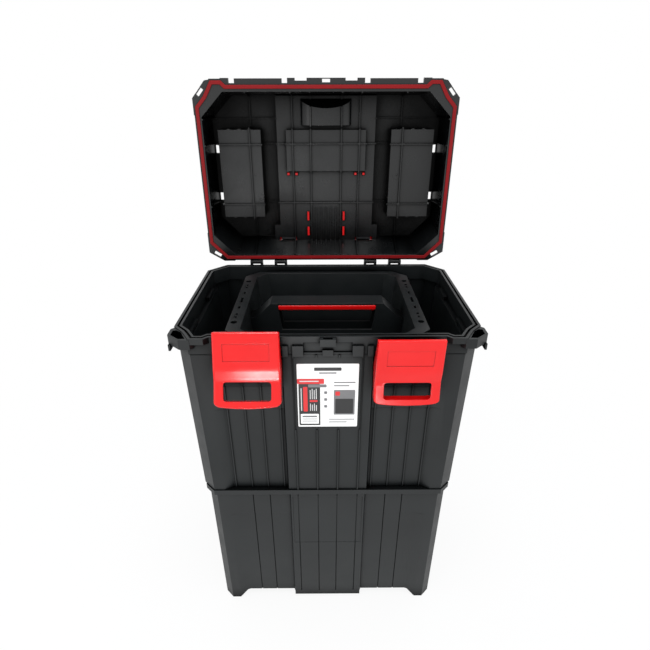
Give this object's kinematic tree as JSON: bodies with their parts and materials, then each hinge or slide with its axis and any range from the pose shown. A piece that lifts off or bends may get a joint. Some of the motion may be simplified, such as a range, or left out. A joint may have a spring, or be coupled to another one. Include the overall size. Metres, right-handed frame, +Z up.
{
  "type": "wheeled tool box",
  "caption": "Tall two-part plastic tool box on wheels with an open hinged lid, front latches, a lift-out tray, lid pockets and a swing pull handle.",
  "frame": {"origin": "on the floor, under the middle of the box's whole extent with the lid open", "axes": "+Z up, -Y towards the front with the latches, +X to the right seen from the front"},
  "size_m": [0.45, 0.4152, 0.8963],
  "materials": {
    "bin_plastic": "moulded, satin",
    "body_plastic": "moulded, satin",
    "bolt_steel": "zinc plated",
    "cap_plastic": "moulded, glossy",
    "cover_plastic": "moulded, satin",
    "gasket_rubber": "soft moulded seal",
    "grip_plastic": "moulded, glossy",
    "handle_pin_plastic": "moulded",
    "handle_plastic": "moulded, glossy",
    "hub_plastic": "moulded",
    "insert_plastic": "moulded, satin",
    "latch_plastic": "moulded, glossy",
    "lid_plastic": "moulded, satin",
    "pin_steel": "zinc plated",
    "tray_plastic": "moulded, satin",
    "tyre_rubber": "matt rubber"
  },
  "bodies": {
    "box": {"axle_left": "pin_steel", "axle_right": "pin_steel", "hinge_pin_1": "pin_steel", "hinge_pin_2": "pin_steel", "hinge_pin_3": "pin_steel", "hinge_pin_4": "pin_steel", "join_bolt_1": "bolt_steel", "join_bolt_2": "bolt_steel", "join_bolt_3": "bolt_steel", "join_bolt_4": "bolt_steel", "latch_pin_left": "pin_steel", "latch_pin_right": "pin_steel", "lower_bin": "bin_plastic", "upper_body": "body_plastic"},
    "lid": {"cover_pin_left_1": "pin_steel", "cover_pin_left_2": "pin_steel", "cover_pin_right_1": "pin_steel", "cover_pin_right_2": "pin_steel", "handle_pin_left": "handle_pin_plastic", "handle_pin_right": "handle_pin_plastic", "lid_gasket": "gasket_rubber", "lid_shell": "lid_plastic", "rear_insert": "insert_plastic"},
    "swing_handle": {"pull_handle": "handle_plastic"},
    "left_cover": {"pocket_cover_left": "cover_plastic"},
    "right_cover": {"pocket_cover_right": "cover_plastic"},
    "left_latch": {"latch_left": "latch_plastic"},
    "right_latch": {"latch_right": "latch_plastic"},
    "tray": {"tray_body": "tray_plastic", "tray_grip": "grip_plastic"},
    "left_wheel": {"tyre_left": "tyre_rubber", "hub_left": "hub_plastic", "hub_cap_left": "cap_plastic"},
    "right_wheel": {"tyre_right": "tyre_rubber", "hub_right": "hub_plastic", "hub_cap_right": "cap_plastic"}
  },
  "joints": [
    {"name": "lid_hinge", "type": "hinge", "parent": "box", "child": "lid", "pos_m": [0, 0.14201, 0.5843], "axis": [-1, 0, 0], "range_deg": [-91, 0]},
    {"name": "left_latch_pivot", "type": "hinge", "parent": "box", "child": "left_latch", "pos_m": [-0.112, -0.17259, 0.5378], "axis": [1, 0, 0], "range_deg": [-3.1, 26]},
    {"name": "right_latch_pivot", "type": "hinge", "parent": "box", "child": "right_latch", "pos_m": [0.112, -0.17259, 0.5378], "axis": [1, 0, 0], "range_deg": [-23.4, 5.7]},
    {"name": "tray_lift", "type": "slide", "parent": "box", "child": "tray", "axis": [0, 0, 1], "range_m": [0, 0.2]},
    {"name": "handle_swing", "type": "hinge", "parent": "lid", "child": "swing_handle", "pos_m": [0, 0.19031, 0.61796], "axis": [-1, 0, 0], "range_deg": [0, 105]},
    {"name": "left_cover_hinge", "type": "hinge", "parent": "lid", "child": "left_cover", "pos_m": [-0.1045, 0.20384, 0.73974], "axis": [0, -0.0175, -0.9998], "range_deg": [0, 90]},
    {"name": "right_cover_hinge", "type": "hinge", "parent": "lid", "child": "right_cover", "pos_m": [0.1045, 0.20384, 0.73974], "axis": [0, 0.0175, 0.9998], "range_deg": [0, 90]},
    {"name": "left_wheel_spin", "type": "hinge", "parent": "box", "child": "left_wheel", "pos_m": [-0.183, 0.11051, 0.048], "axis": [1, 0, 0], "continuous": true},
    {"name": "right_wheel_spin", "type": "hinge", "parent": "box", "child": "right_wheel", "pos_m": [0.183, 0.11051, 0.048], "axis": [1, 0, 0], "continuous": true}
  ]
}
